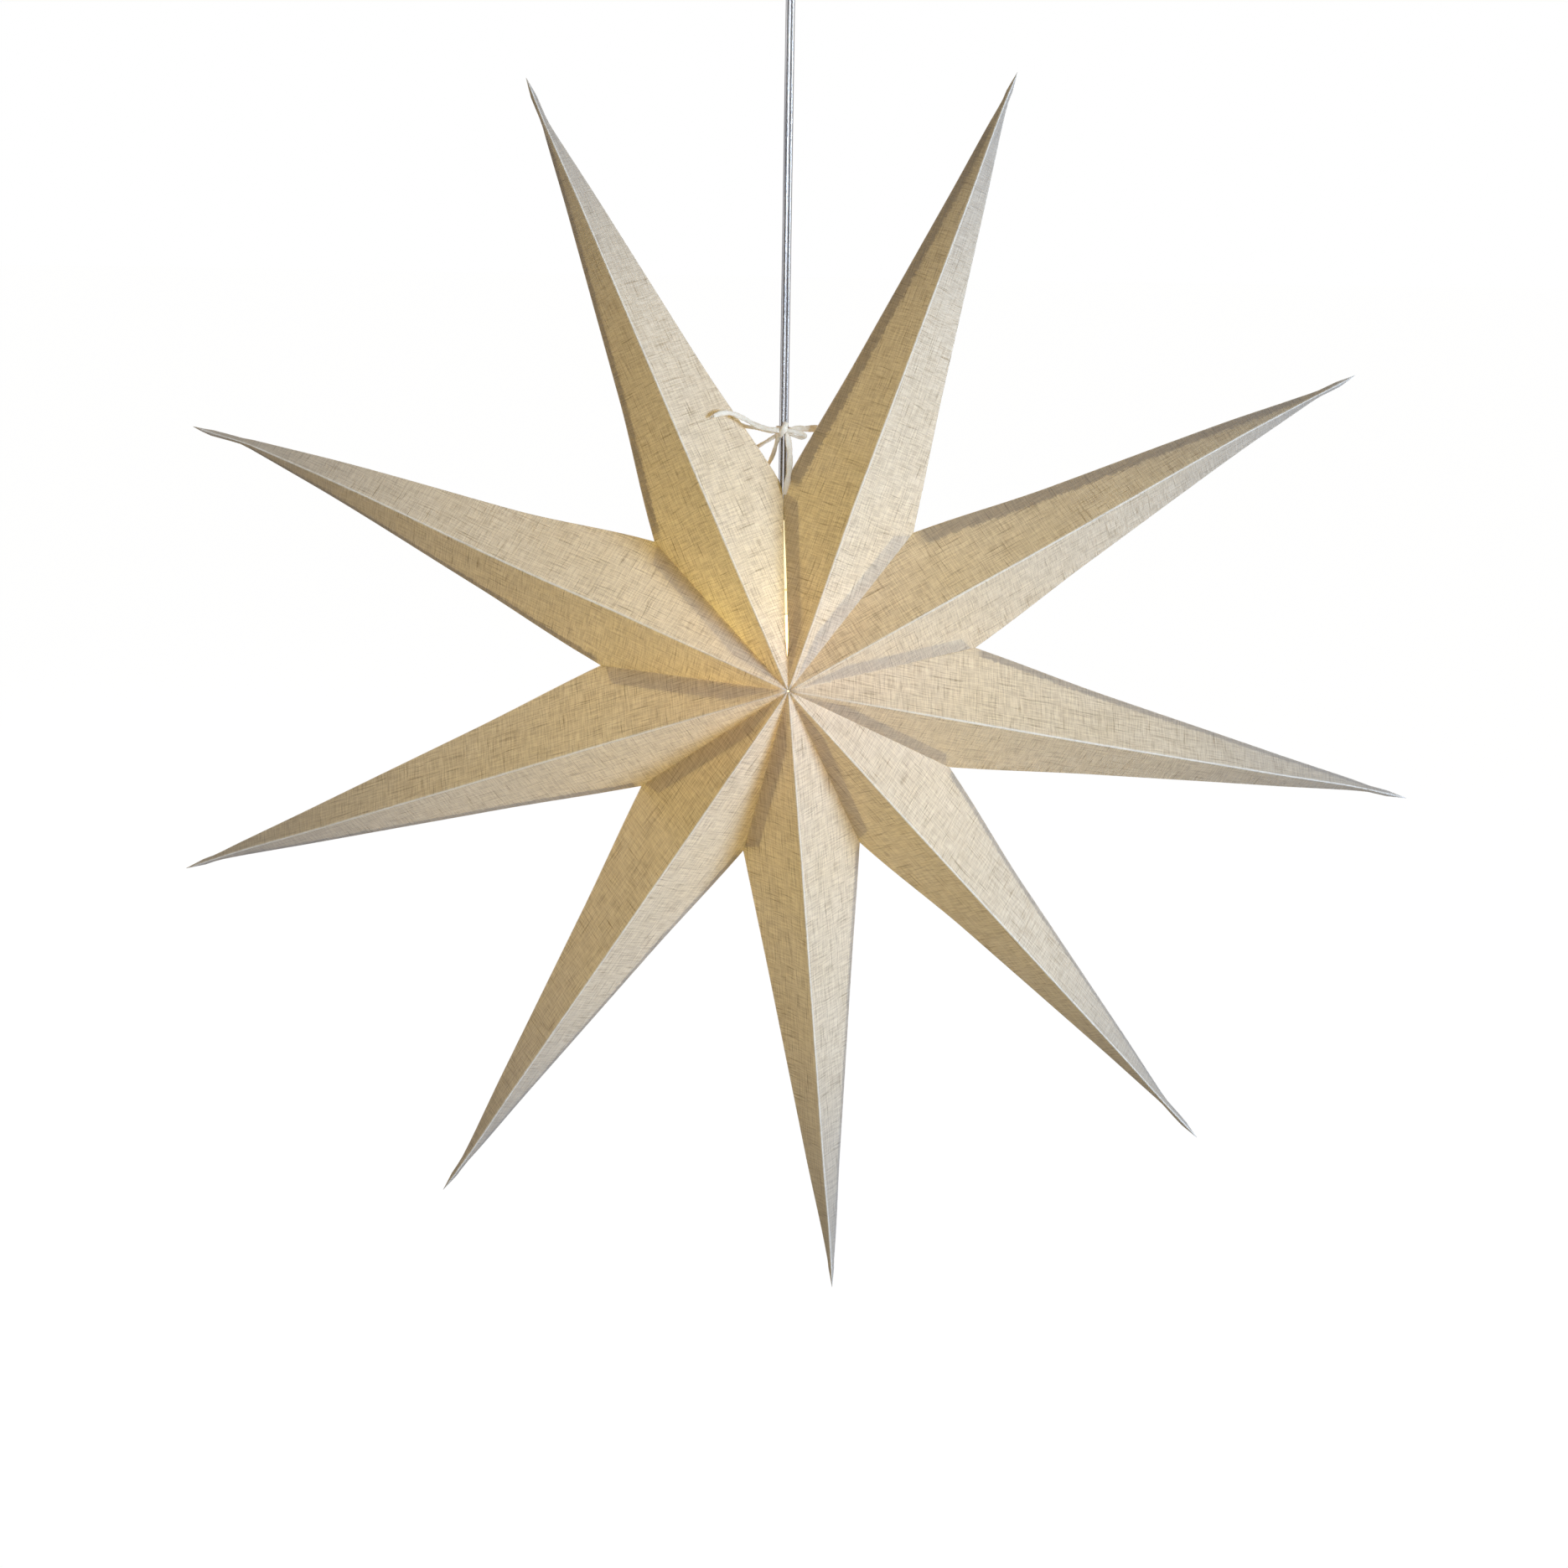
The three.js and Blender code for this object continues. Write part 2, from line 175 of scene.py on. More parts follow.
# Studio floor
FLOOR_REACH = 8
FLOOR_DROP = 0.2
FLOOR_GREY = (0.45, 0.45, 0.45, 1)
FLOOR_WHITE = 1.06

# Camera, with its angles in radians
CAMERA_DISTANCE = 3.0
CAMERA_ELEVATION = 0.1772
CAMERA_ROLL = 0.0157
CAMERA_TARGET = (-1.65 * MM, 0, -67.06 * MM)
SENSOR_WIDTH_MM = 36
LENS_MM = 117.06

# Cable and cord
PLY_TWIST = 260
CORD_RADIUS = 1.2 * MM
CORD_STEP = 0.6 * MM
STRANDS = 7
STRAND_LAY = 16 * MM
STRAND_STEP = 2.2 * MM

# Seeds
PANEL_SEED = 7
FLAP_SEED = 11
CORD_SEED = 3


# ---------------------------------------------------------------- star geometry


def joint_line(name):
    return Vector(joints[name]["pos_m"]), Vector(joints[name]["axis"])


def meeting_point(first, second):
    """Where two edge hinge lines, both lying in the star's middle plane, cross."""
    p, u = joint_line(first)
    q, v = joint_line(second)
    across = Vector((v.z, 0, -v.x))
    return p + u * ((q - p).dot(across) / u.dot(across))


def star_points():
    """The star's front and back centres, its tips by arm number and its valleys by the arm before them."""
    front = Vector(joints["star_fold"]["pos_m"])
    back = Vector((front.x, -front.y, front.z))
    tips = {n: joint_line(f"arm_{n}_left_edge_fold")[0] for n in range(1, ARMS + 1)}
    valleys = {
        n: meeting_point(f"arm_{n}_right_edge_fold", f"arm_{n % ARMS + 1}_left_edge_fold")
        for n in range(1, ARMS + 1)
    }
    valleys[0] = valleys[ARMS]
    return front, back, tips, valleys


FRONT, BACK, TIPS, VALLEYS = star_points()
CENTRE = (FRONT + BACK) / 2
TIP_RADIUS = (TIPS[1] - CENTRE).length


def smooth(low, high, x):
    t = min(max((x - low) / (high - low), 0.0), 1.0)
    return t * t * (3 - 2 * t)


def arm_axes(number):
    axis = (TIPS[number] - CENTRE).normalized()
    return axis, Vector((axis.z, 0, -axis.x))


def shape_arm(point, number):
    """Moves a point of the flat-sided star to where the hand-folded paper is: the outline a little
    hollow, the arm bowed to one side, and the tip pinched flat."""
    axis, clockwise = arm_axes(number)
    offset = point - CENTRE
    reach = offset.dot(axis)
    side = offset.dot(clockwise)
    share = reach / TIP_RADIUS
    valley = VALLEYS[number] - CENTRE
    hollow_start = valley.dot(axis)
    half_width = valley.dot(clockwise) * (TIP_RADIUS - reach) / (TIP_RADIUS - hollow_start)
    inset = ARM_INSET[number - 1] * smooth(0.3, 0.5, share)
    wanted = max(half_width - inset, min(half_width, TIP_WIDTH))
    if half_width > 0:
        side *= wanted / half_width
    bow = ARM_BOW[number - 1] * smooth(0.4, 0.8, share) * (1 - smooth(0.9, 1.0, share))
    hook = ARM_HOOK[number - 1] * smooth(HOOK_START - 0.12, HOOK_START + 0.02, share)
    hook *= 1 - min(max((share - HOOK_START) / (1 - HOOK_START), 0.0), 1.0) ** 2
    outer = max((share - LEAN_START) / (1 - LEAN_START), 0.0)
    side += bow + hook + ARM_LEAN[number - 1] * outer
    reach += ARM_STRETCH[number - 1] * outer
    pinch = 1 - TIP_PINCH * smooth(0.75, 0.97, share)
    return CENTRE + axis * reach + clockwise * side + Vector((0, offset.y * pinch, 0))


# ---------------------------------------------------------------- mesh helpers


def new_object(name, vertices, faces, uvs=None):
    mesh = bpy.data.meshes.new(name)
    mesh.from_pydata([tuple(v) for v in vertices], [], faces)
    mesh.update()
    if uvs is not None:
        layer = mesh.uv_layers.new(name="grain")
        loops = np.zeros(len(mesh.loops), int)
        mesh.loops.foreach_get("vertex_index", loops)
        layer.data.foreach_set("uv", np.array(uvs, np.float32)[loops].ravel())
    obj = bpy.data.objects.new(name, mesh)
    bpy.context.scene.collection.objects.link(obj)
    return obj


def shade_smooth(obj):
    obj.data.polygons.foreach_set("use_smooth", [True] * len(obj.data.polygons))


def sheet_object(name, grid, uvs, marks, thickness=SHEET):
    """A closed thin sheet about a grid of points. Marks give each point's distance from the outline and
    its share of the way to the tip, which the material reads for rubbed edges, painted shade towards the tips
    and its painted inner glow."""
    rows, columns = len(grid), len(grid[0])
    points = np.array([[tuple(p) for p in row] for row in grid], float)
    du = np.gradient(points, axis=0)
    dv = np.gradient(points, axis=1)
    normals = np.cross(du, dv)
    lengths = np.linalg.norm(normals, axis=2, keepdims=True)
    normals = normals / np.maximum(lengths, 1e-12)
    for row in range(rows):
        weak = lengths[row, :, 0] < 1e-9
        if weak.any():
            normals[row, weak] = normals[min(max(row, 3), rows - 4), columns // 2]
    width = np.linalg.norm(points[:, -1] - points[:, 0], axis=1)
    half = np.minimum(thickness / 2, width * HALF_THICKNESS_SHARE)[:, None, None]
    top = (points + normals * half).reshape(-1, 3)
    bottom = (points - normals * half).reshape(-1, 3)
    count = rows * columns
    faces = []
    for i in range(rows - 1):
        for j in range(columns - 1):
            a, b = i * columns + j, i * columns + j + 1
            c, d = b + columns, a + columns
            faces.append((a, d, c, b))
            faces.append((a + count, b + count, c + count, d + count))
    rim = [(0, j) for j in range(columns)] + [(i, columns - 1) for i in range(1, rows)]
    rim += [(rows - 1, j) for j in range(columns - 2, -1, -1)] + [(i, 0) for i in range(rows - 2, 0, -1)]
    ring = [i * columns + j for i, j in rim]
    for here, there in zip(ring, ring[1:] + ring[:1]):
        faces.append((here, there, there + count, here + count))
    flat = [uv for row in uvs for uv in row]
    obj = new_object(name, np.vstack([top, bottom]), faces, flat + flat)
    layer = obj.data.uv_layers.new(name="wear")
    loops = np.zeros(len(obj.data.loops), int)
    obj.data.loops.foreach_get("vertex_index", loops)
    both = np.array([m for row in marks for m in row] * 2, np.float32)
    layer.data.foreach_set("uv", both[loops].ravel())
    obj.data.validate()
    return obj


# ---------------------------------------------------------------- paper panels


class Panel:
    """One flat quarter of an arm. Places on it are given as a distance along its ridge and one across."""

    def __init__(self, number, face, side):
        self.number, self.face, self.side = number, face, side
        self.name = f"arm_{number}_{face}_{side}"
        self.apex = FRONT if face == "front" else BACK
        self.tip = TIPS[number]
        self.valley = VALLEYS[number - 1] if side == "left" else VALLEYS[number]
        self.beside_slit = (number, side) in ((1, "left"), (ARMS, "right"))
        self.along = (self.tip - self.apex).normalized()
        self.length = (self.tip - self.apex).length
        self.reach = (self.valley - self.apex).dot(self.along)
        self.across = ((self.valley - self.apex) - self.along * self.reach).normalized()
        self.width = (self.valley - self.apex).dot(self.across)
        normal = self.along.cross(self.across)
        outward = (self.apex + self.tip + self.valley) / 3 - CENTRE
        self.normal = normal if normal.dot(outward) > 0 else -normal
        seamed = face == "front" and side == "left"
        self.seam = SEAM_WIDTH[number - 1] if seamed else 0.0
        self.flapped = face == "front" and (number == 1 or (side == "right" and number < ARMS))

    def place(self, s, v, lift=0.0):
        flat = self.apex + self.along * s + self.across * v + self.normal * lift
        return shape_arm(flat, self.number)

    def outline(self, s):
        """Distance from the ridge to the outline, less the slit and the notch for the cable."""
        if s >= self.reach:
            limit = self.width * (self.length - s) / (self.length - self.reach)
        else:
            limit = self.width * s / self.reach
        if not self.beside_slit:
            return limit
        valley_length = math.hypot(self.reach, self.width)
        edge_length = math.hypot(self.length - self.reach, self.width)
        if s < self.reach:
            share = s / self.reach
            bulge = smooth(0.08, 0.25, share) * (1 - smooth(0.55, 0.9, share))
            gap = SLIT_NARROW + (SLIT_WIDE - SLIT_NARROW) * bulge
            gap *= smooth(0.13, 0.27, share)
            limit = max(limit - gap * valley_length / self.reach, 0.1 * MM)
        low = (self.reach * (1 - NOTCH_DOWN / valley_length), self.width * (1 - NOTCH_DOWN / valley_length))
        high_s = self.reach + NOTCH_UP * (self.length - self.reach) / edge_length
        high = (high_s, self.width * (1 - NOTCH_UP / edge_length))
        if low[0] < s < high[0]:
            share = (s - low[0]) / (high[0] - low[0])
            limit = min(limit, low[1] + (high[1] - low[1]) * share)
        return limit


def flap_marks(panel, s, v):
    """Where a place lies beside the valley fold: along it, away from it, and the outline seam's width."""
    length = math.hypot(panel.reach, panel.width)
    along = (s * panel.reach + v * panel.width) / length
    away = (s * panel.width - v * panel.reach) / length
    return along, away if panel.flapped else 1.0, panel.seam


def sheet_from(panel, name, rows, thickness=SHEET):
    """A sheet through rows of (s, v, lift) places, with its first face outward."""
    grid = [[panel.place(*place) for place in row] for row in rows]
    uvs = [[(s, v) for s, v, lift in row] for row in rows]
    marks = [[(panel.outline(s) - v, s / panel.length) for s, v, lift in row] for row in rows]
    seams = [[flap_marks(panel, s, v) for s, v, lift in row] for row in rows]
    i, j = len(grid) // 2, len(grid[0]) // 2
    facing = (grid[i + 1][j] - grid[i][j]).cross(grid[i][j + 1] - grid[i][j]).dot(panel.normal)
    if facing < 0:
        grid = [row[::-1] for row in grid]
        uvs = [row[::-1] for row in uvs]
        marks = [row[::-1] for row in marks]
        seams = [row[::-1] for row in seams]
    sheet = sheet_object(name, grid, uvs, marks, thickness)
    layer = sheet.data.attributes.new("flaps", "FLOAT_VECTOR", "POINT")
    both = np.array([mark for row in seams for mark in row] * 2, np.float32)
    layer.data.foreach_set("vector", both.ravel())
    shade_smooth(sheet)
    return sheet


def panel_rows(panel, rng):
    """Rows of places across the panel, closest together at the ridge and the outline, with a slight swell
    and ripple."""
    swell = rng.uniform(-0.8, 0.5) * MM
    ripple = rng.uniform(0.1, 0.3) * MM
    phase = rng.uniform(0, 2 * math.pi)
    end = panel.length - EYE
    stops = [EYE + (end - EYE) * i / ALONG_STEPS for i in range(ALONG_STEPS + 1)]
    nearest = min(range(len(stops)), key=lambda i: abs(stops[i] - panel.reach))
    stops[nearest] = panel.reach
    rows = []
    for s in stops:
        limit = panel.outline(s)
        row = []
        for j in range(ACROSS_STEPS + 1):
            share = 0.5 - 0.5 * math.cos(math.pi * j / ACROSS_STEPS)
            belly = math.sin(math.pi * share) * min(1.0, limit / panel.width)
            rise = math.sin(math.pi / 2 * min(s / (0.6 * panel.length), 1.0))
            wave = math.sin(phase + 9 * s / panel.length + 2.2 * share)
            row.append((s, limit * share, belly * (swell * rise + ripple * wave)))
        rows.append(row)
    return rows


def bend_sheet(sheet, panel):
    """Bakes the sheet's placement into its mesh, front and back sheets alike."""
    axis, clockwise = arm_axes(panel.number)
    if panel.face == "front":
        if panel.number == 5:
            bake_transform(sheet)
        else:
            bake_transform(sheet)
        return
    edge = (panel.tip - panel.valley).normalized()
    inward = panel.apex - panel.valley
    inward = (inward - edge * inward.dot(edge)).normalized()
    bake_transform(sheet)


def build_panels(linen):
    rng = random.Random(PANEL_SEED)
    for number in range(1, ARMS + 1):
        for face in ("front", "back"):
            for side in ("left", "right"):
                panel = Panel(number, face, side)
                sheet = sheet_from(panel, f"{panel.name}_sheet", panel_rows(panel, rng))
                sheet.data.materials.append(linen)
                bend_sheet(sheet, panel)
                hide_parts(f"{panel.name}_panel")


def valley_flap_rows(panel):
    """A strip beside the valley fold, from near the star's middle to a slanting end near the outline."""
    length = math.hypot(panel.reach, panel.width)
    along = (panel.reach / length, panel.width / length)
    rows = []
    long_steps, cross_steps = FLAP_STEPS
    for i in range(long_steps + 1):
        row = []
        for j in range(cross_steps + 1):
            across = 0.6 * MM + FLAP_WIDTH * j / cross_steps
            start = FLAP_START + FLAP_START_SLANT * across
            end = length - FLAP_END - FLAP_END_SLANT * across
            reach = start + (end - start) * i / long_steps
            s = along[0] * reach + along[1] * across
            v = along[1] * reach - along[0] * across
            row.append((s, v, -FLAP_GAP))
        rows.append(row)
    return rows


def edge_seam_rows(panel, width, rng):
    """A strip inside the outline, where the front and back of an arm are glued together."""
    phase = rng.uniform(0, 2 * math.pi)
    rows = []
    long_steps, cross_steps = SEAM_STEPS
    for i in range(long_steps + 1):
        s = panel.reach + 3 * MM + (SEAM_END * panel.length - panel.reach) * i / long_steps
        room = panel.outline(s) - 1.2 * MM
        wander = 1 + 0.12 * math.sin(phase + 0.5 * i) + 0.08 * math.sin(2 * phase + 1.3 * i)
        wide = min(width * wander * (1 - 0.45 * i / long_steps), room * 0.6)
        start = room + 0.7 * MM
        rows.append([(s, start - wide * j / cross_steps, -FLAP_GAP) for j in range(cross_steps + 1)])
    return rows


def build_flaps(linen):
    rng = random.Random(FLAP_SEED)
    for number in range(1, ARMS + 1):
        right = Panel(number, "front", "right")
        left = Panel(number, "front", "left")
        flaps = [(left, f"arm_{number}_edge_seam", edge_seam_rows(left, SEAM_WIDTH[number - 1], rng))]
        if number < ARMS:
            flaps.append((right, f"arm_{number}_valley_flap", valley_flap_rows(right)))
        if number == 1:
            flaps.append((left, "arm_1_slit_flap", valley_flap_rows(left)))
        for panel, name, rows in flaps:
            flap = sheet_from(panel, name, rows, FLAP_SHEET)
            flap.data.materials.append(linen)
            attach(flap, panel.name)


# ---------------------------------------------------------------- cable and cord


def tube_mesh(path, section):
    """Vertices and faces of a tube: section(i, share) gives its outline as (wide, deep) offsets at each
    point, wide as seen from the front."""
    points = [Vector(p) for p in path]
    after = points[1:] + points[-1:]
    before = points[:1] + points[:-1]
    tangents = [(there - here).normalized() for here, there in zip(before, after)]
    side = tangents[0].cross(Vector((0, 1, 0)))
    if side.length < 0.3:
        side = tangents[0].orthogonal()
    vertices, faces, size = [], [], 0
    for i, point in enumerate(points):
        side = (side - tangents[i] * side.dot(tangents[i])).normalized()
        up = tangents[i].cross(side)
        ring = section(i, i / (len(points) - 1))
        size = len(ring)
        vertices += [point + side * a + up * b for a, b in ring]
    for i in range(len(points) - 1):
        for j in range(size):
            a, b = i * size + j, i * size + (j + 1) % size
            faces.append((a, b, b + size, a + size))
    faces.append(tuple(range(size - 1, -1, -1)))
    faces.append(tuple(range((len(points) - 1) * size, len(points) * size)))
    return vertices, faces


def curve_through(points, step):
    """Evenly spaced places along a smooth curve through a few points."""
    knots = [Vector(p) for p in points]
    knots = [2 * knots[0] - knots[1]] + knots + [2 * knots[-1] - knots[-2]]
    dense = []
    for a, b, c, d in zip(knots, knots[1:], knots[2:], knots[3:]):
        for i in range(24):
            t = i / 24
            dense.append(0.5 * (2 * b + (c - a) * t + (2 * a - 5 * b + 4 * c - d) * t * t
                                + (3 * b - a - 3 * c + d) * t ** 3))
    dense.append(knots[-2])
    result, left = [dense[0]], step
    for here, there in zip(dense, dense[1:]):
        length = (there - here).length
        while length > left:
            here = here + (there - here) * (left / length)
            result.append(here)
            length -= left
            left = step
        left -= length
    result.append(dense[-1])
    return result


def add_tube(pieces, path, section):
    vertices, faces = tube_mesh(path, section)
    base = len(pieces[0])
    pieces[0].extend(vertices)
    pieces[1].extend(tuple(base + k for k in face) for face in faces)


def cord_section(rng, radius, flat=1.0):
    """Two twisted plies, a little uneven along their length."""
    phase = rng.uniform(0, 2 * math.pi)
    uneven = [rng.uniform(0.92, 1.08) for _ in range(64)]

    def ring(i, share):
        turn = phase + i * CORD_STEP * PLY_TWIST
        size = radius * uneven[i % 64]
        outline = []
        for j in range(14):
            angle = 2 * math.pi * j / 14
            wide = 0.74 + 0.26 * abs(math.cos(angle - turn))
            outline.append((size * wide * math.cos(angle) * flat, size * wide * math.sin(angle) / flat))
        return outline

    return ring


def fray(pieces, end, direction, rng):
    """Loose fibres at a cut end."""
    for _ in range(14):
        spread = Vector([rng.uniform(-1, 1) for _ in range(3)]) * 0.55
        heading = (direction + spread).normalized()
        length = rng.uniform(1.2, 3.2) * MM
        droop = Vector((0, 0, -0.3 * length))
        path = [end - direction * 0.5 * MM, end + heading * length * 0.5, end + heading * length + droop]
        circle = [(math.cos(a) * 0.09 * MM, math.sin(a) * 0.09 * MM) for a in (0, 2.1, 4.2)]
        add_tube(pieces, path, lambda i, share, circle=circle: circle)


def finish_piece(pieces, name, material, body, slot, *nodes):
    obj = new_object(name, pieces[0], pieces[1])
    shade_smooth(obj)
    obj.data.materials.append(material)
    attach(obj, body)
    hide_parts(*nodes)
    return obj


def build_tie_cord(cotton):
    rng = random.Random(CORD_SEED)
    low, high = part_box("tie_cord_knot")
    knot = (Vector(low) + Vector(high)) / 2

    def path(*points):
        return curve_through([knot + Vector(p) * MM for p in points], CORD_STEP)

    bow = path((-41, -16.5, 9.6), (-36, -13, 10.8), (-30, -9.4, 10.2), (-23, -7.2, 7), (-16, -6.4, 3.2),
               (-9, -6, 1.2), (-2, -5.6, 0.4), (4, -5.4, 0.2), (9, -5, -1), (12.4, -4.6, -2.9),
               (11, -3.9, -4.2), (7, -3.4, -3.4), (2.4, -3.2, -1.6))
    loop = path((-3, -3.6, -0.6), (-9, -2, -0.6), (-15, 1.4, 0.6), (-22, 4.8, 1), (-30, 11.2, 2),
                (-34.5, 18.6, -4), (-28, 18.4, -12), (-19, 11.2, -13), (-11, 3.5, -8), (-3.2, -1.6, -2.4))
    lower = path((-2.6, -2.4, -2.4), (-4.2, 1.2, -8), (-6, 4.6, -15), (-9, 8.6, -22), (-11, 10.6, -26))
    right = path((26, 14, -1), (20, 8.5, 0), (13, 3, 0.4), (6.5, -2.2, 0.6), (2.4, -4, -1.6),
                 (2.8, -3.6, -6.5), (3.7, -3.2, -13), (3.6, -3.4, -21), (2.7, -3.6, -29), (1.3, -3.8, -37.6))
    for name, line, flat in (("tie_cord_bow", bow, 1.3), ("tie_cord_left_loop", loop, 1.1),
                             ("tie_cord_lower_strand", lower, 1.1), ("tie_cord_right_strand", right, 1.75)):
        pieces = ([], [])
        add_tube(pieces, line, cord_section(rng, CORD_RADIUS, flat))
        if name == "tie_cord_bow":
            fray(pieces, line[0], (line[0] - line[3]).normalized(), rng)
        finish_piece(pieces, f"{name}_yarn", cotton, "suspension", "cotton_cord", name)
    pieces = ([], [])
    wraps = []
    for i in range(81):
        turn = 2 * math.pi * 1.6 * i / 80 + 0.4
        wraps.append(knot + Vector((3.7 * math.cos(turn), 2.6 * math.sin(turn), -1.6 + 3.2 * i / 80)) * MM)
    add_tube(pieces, wraps, cord_section(rng, CORD_RADIUS * 0.95))
    cross = path((-2.6, -2.8, -3.2), (-1.8, -5.2, -1.8), (-0.2, -6.4, 0.6), (0.8, -5.4, 3), (1.2, -2.6, 4.2))
    add_tube(pieces, cross, cord_section(rng, CORD_RADIUS * 1.15, 1.35))
    finish_piece(pieces, "tie_cord_knot_yarn", cotton, "suspension", "cotton_cord", "tie_cord_knot")


def build_cable(vinyl, wire):
    for part in ("lower", "upper"):
        low, high = (Vector(p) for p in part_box(f"cable_jacket_{part}"))
        radius = (high.y - low.y) / 2
        half = (high.x - low.x) / 2 - radius
        groove = math.acos(half / radius)
        outline = []
        for k, middle in ((0, half), (1, -half)):
            for i in range(21):
                angle = k * math.pi + (groove - math.pi) + (2 * math.pi - 2 * groove) * i / 20
                outline.append((middle + radius * math.cos(angle), radius * math.sin(angle)))
        vertices = [(x, y, z) for z in (low.z, high.z) for x, y in outline]
        size = len(outline)
        faces = [(i, (i + 1) % size, size + (i + 1) % size, size + i) for i in range(size)]
        faces += [tuple(range(size - 1, -1, -1)), tuple(range(size, 2 * size))]
        jacket = finish_piece((vertices, faces), f"cable_sleeve_{part}", vinyl, "suspension",
                              "clear_vinyl", f"cable_jacket_{part}")
        jacket.data.set_sharp_from_angle(angle=math.radians(50))
    for side in ("live", "neutral"):
        low, high = (Vector(p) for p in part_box(f"cable_wire_{side}"))
        middle = (low + high) / 2
        radius = (high.x - low.x) / 2
        pieces = ([], [])
        steps = int((high.z - low.z) / STRAND_STEP)
        for strand in range(STRANDS):
            thin = radius / 3 * 1.02
            path = []
            for i in range(steps + 1):
                z = low.z + (high.z - low.z) * i / steps
                turn = 2 * math.pi * (strand / (STRANDS - 1) + (z - low.z) / STRAND_LAY)
                out = 0 if strand == STRANDS - 1 else radius - thin
                path.append((middle.x + out * math.cos(turn), middle.y + out * math.sin(turn), z))
            circle = [(thin * math.cos(a * math.pi / 3), thin * math.sin(a * math.pi / 3)) for a in range(6)]
            add_tube(pieces, path, lambda i, share, circle=circle: circle)
        finish_piece(pieces, f"cable_strands_{side}", wire, "suspension", "tinned_copper",
                     f"cable_wire_{side}")


# ---------------------------------------------------------------- materials


class Nodes:
    """Short calls for building a material's node tree."""

    def __init__(self, name):
        self.material = bpy.data.materials.new(name)
        self.material.use_nodes = True
        self.tree = self.material.node_tree
        self.tree.nodes.clear()
        self.output = self.add("ShaderNodeOutputMaterial")

    def add(self, kind, inputs=None, **settings):
        node = self.tree.nodes.new(kind)
        for key, value in settings.items():
            setattr(node, key, value)
        for key, value in (inputs or {}).items():
            self.set(node, key, value)
        return node

    def set(self, node, key, value):
        if hasattr(value, "is_output"):
            self.tree.links.new(value, node.inputs[key])
        else:
            node.inputs[key].default_value = value

    def math(self, operation, a, b=0.0, clamp=False):
        node = self.add("ShaderNodeMath", {0: a, 1: b}, operation=operation, use_clamp=clamp)
        return node.outputs[0]

    def mix(self, factor, a, b):
        node = self.add("ShaderNodeMix", data_type="RGBA")
        self.set(node, 0, factor)
        self.set(node, 6, a)
        self.set(node, 7, b)
        return node.outputs[2]

    def facing_away(self):
        """0 where the surface faces the viewer, rising to 1 at its edge."""
        return self.add("ShaderNodeLayerWeight", {"Blend": 0.5}).outputs["Facing"]

    def range(self, value, low, high, to_low=0.0, to_high=1.0):
        node = self.add("ShaderNodeMapRange", {0: value, 1: low, 2: high, 3: to_low, 4: to_high})
        node.clamp = True
        return node.outputs[0]

    def noise(self, vector, scale, detail=2.0, roughness=0.5):
        inputs = {"Vector": vector, "Scale": scale, "Detail": detail, "Roughness": roughness}
        return self.add("ShaderNodeTexNoise", inputs).outputs[0]

    def stretch(self, vector, x, y, z=1.0):
        return self.add("ShaderNodeMapping", {"Vector": vector, "Scale": (x, y, z)}).outputs[0]

    def surface(self, shader):
        self.tree.links.new(shader, self.output.inputs["Surface"])
        return self.material


def flap_mask(n, edge, share, patches):
    """Where a glued flap lies behind the sheet: how far its painted shadow dims the painted glow from inside,
    and how far its painted shade darkens the sheet's colour.
    """
    marks = n.add("ShaderNodeAttribute", attribute_name="flaps").outputs["Vector"]
    along, away, seam = n.add("ShaderNodeSeparateXYZ", {0: marks}).outputs
    fold_length = math.hypot((VALLEYS[1] - CENTRE).length, (FRONT - CENTRE).length)
    start = n.math("ADD", n.math("MULTIPLY", away, FLAP_START_SLANT), FLAP_START)
    inner_end = n.math("SUBTRACT", along, start)
    outward = n.math("ADD", n.math("MULTIPLY", away, FLAP_END_SLANT), along)
    outer_end = n.math("SUBTRACT", fold_length - FLAP_END, outward)
    flap = n.range(away, FLAP_WIDTH, FLAP_WIDTH + 0.5 * MM, 1.0, 0.0)
    flap = n.math("MULTIPLY", flap, n.range(inner_end, 0.0, 1 * MM))
    flap = n.math("MULTIPLY", flap, n.range(outer_end, 0.0, 0.6 * MM))
    narrowing = n.range(share, 0.3, 0.95, 1.0, 0.5)
    wander = n.range(patches, 0.35, 0.65, 0.85, 1.1)
    wide = n.math("MULTIPLY", n.math("MULTIPLY", seam, narrowing), wander)
    strip = n.range(n.math("SUBTRACT", wide, edge), 0.0, 1.2 * MM)
    strip = n.math("MULTIPLY", strip, n.range(share, 0.29, 0.31))
    return n.math("MAXIMUM", flap, strip), n.math("MAXIMUM", n.math("MULTIPLY", flap, 0.36), strip)


